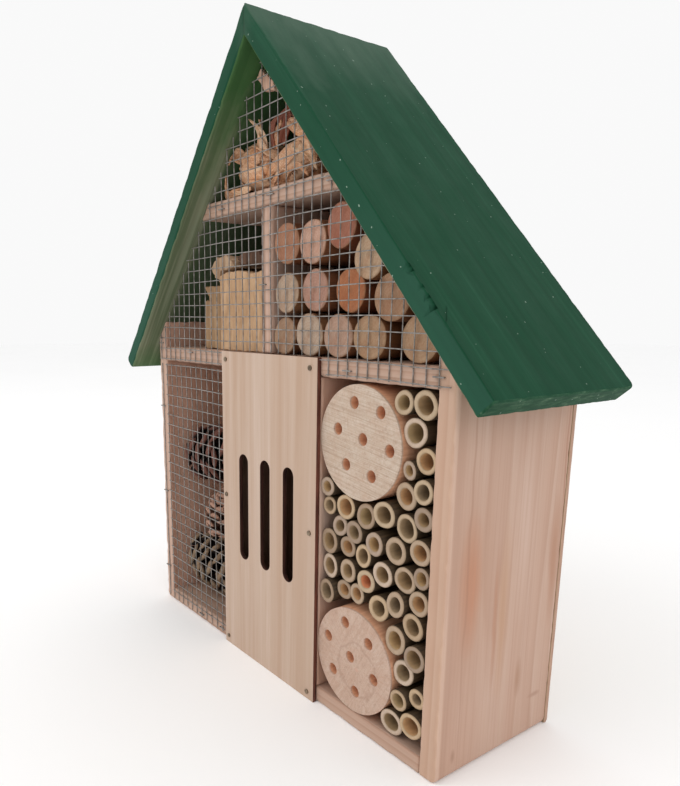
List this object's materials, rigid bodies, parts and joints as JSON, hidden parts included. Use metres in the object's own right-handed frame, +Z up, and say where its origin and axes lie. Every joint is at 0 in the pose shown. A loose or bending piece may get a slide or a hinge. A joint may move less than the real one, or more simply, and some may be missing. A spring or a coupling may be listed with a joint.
{
  "type": "insect hotel",
  "caption": "Gabled wooden insect hotel with green pitched roof, slotted butterfly panel, wire mesh fronts, drilled logs, bamboo tubes, cones and husk filling.",
  "frame": {"origin": "middle of the underside of the box, halfway between the outer wall faces and halfway through the wall depth", "axes": "+X to the right seen from the front, +Y to the back, +Z up"},
  "size_m": [0.3618, 0.1156, 0.404],
  "materials": {
    "frame_wood": "sanded bare softwood",
    "roof_paint": "satin green paint over wood",
    "plywood": "bare plywood, laser-cut dark edges",
    "mesh_wire": "dull galvanised wire",
    "nail_steel": "dull steel",
    "drilled_log": "sawn end grain",
    "pine_cone": "rough dark scales with paler tips",
    "sawn_wood": "pale split wood",
    "bark": "rough bark",
    "husk": "dry crumpled husk",
    "branch_wood": "sawn end grain with thin bark",
    "bamboo": "cut bamboo cane"
  },
  "bodies": {
    "root": {"left_wall": "frame_wood", "right_wall": "frame_wood", "floor_board": "frame_wood", "lower_shelf": "frame_wood", "upper_shelf": "frame_wood", "left_divider": "frame_wood", "right_divider": "frame_wood", "upper_divider": "frame_wood", "left_roof_board": "roof_paint", "right_roof_board": "roof_paint", "back_panel": "plywood", "butterfly_panel": "plywood", "upper_mesh": "mesh_wire", "lower_mesh": "mesh_wire", "mesh_staples": "mesh_wire", "panel_nails": "nail_steel", "roof_brads": "nail_steel", "ridge_brads": "nail_steel", "back_nails": "nail_steel", "hanger_plate": "nail_steel", "hanger_screws": "nail_steel", "upper_drilled_log": "drilled_log", "lower_drilled_log": "drilled_log", "upper_cone": "pine_cone", "middle_cone": "pine_cone", "lower_cone": "pine_cone", "wood_block": "sawn_wood", "split_block": "sawn_wood", "wood_chip": "sawn_wood", "bark_slab": "bark", "bark_strip": "bark", "bark_shreds": "bark", "husk_left": "husk", "husk_right": "husk", "log_1": "branch_wood", "log_2": "branch_wood", "log_3": "branch_wood", "log_4": "branch_wood", "log_5": "branch_wood", "log_6": "branch_wood", "log_7": "branch_wood", "log_8": "branch_wood", "log_9": "branch_wood", "log_10": "branch_wood", "log_11": "branch_wood", "log_12": "branch_wood", "log_13": "branch_wood", "tube_row_1": "bamboo", "tube_row_2": "bamboo", "tube_row_3": "bamboo", "tube_row_4": "bamboo", "tube_row_5": "bamboo", "tube_row_6": "bamboo", "tube_row_7": "bamboo", "tube_row_8": "bamboo", "tube_row_9": "bamboo", "tube_row_10": "bamboo", "tube_row_11": "bamboo", "tube_row_12": "bamboo"}
  },
  "joints": []
}
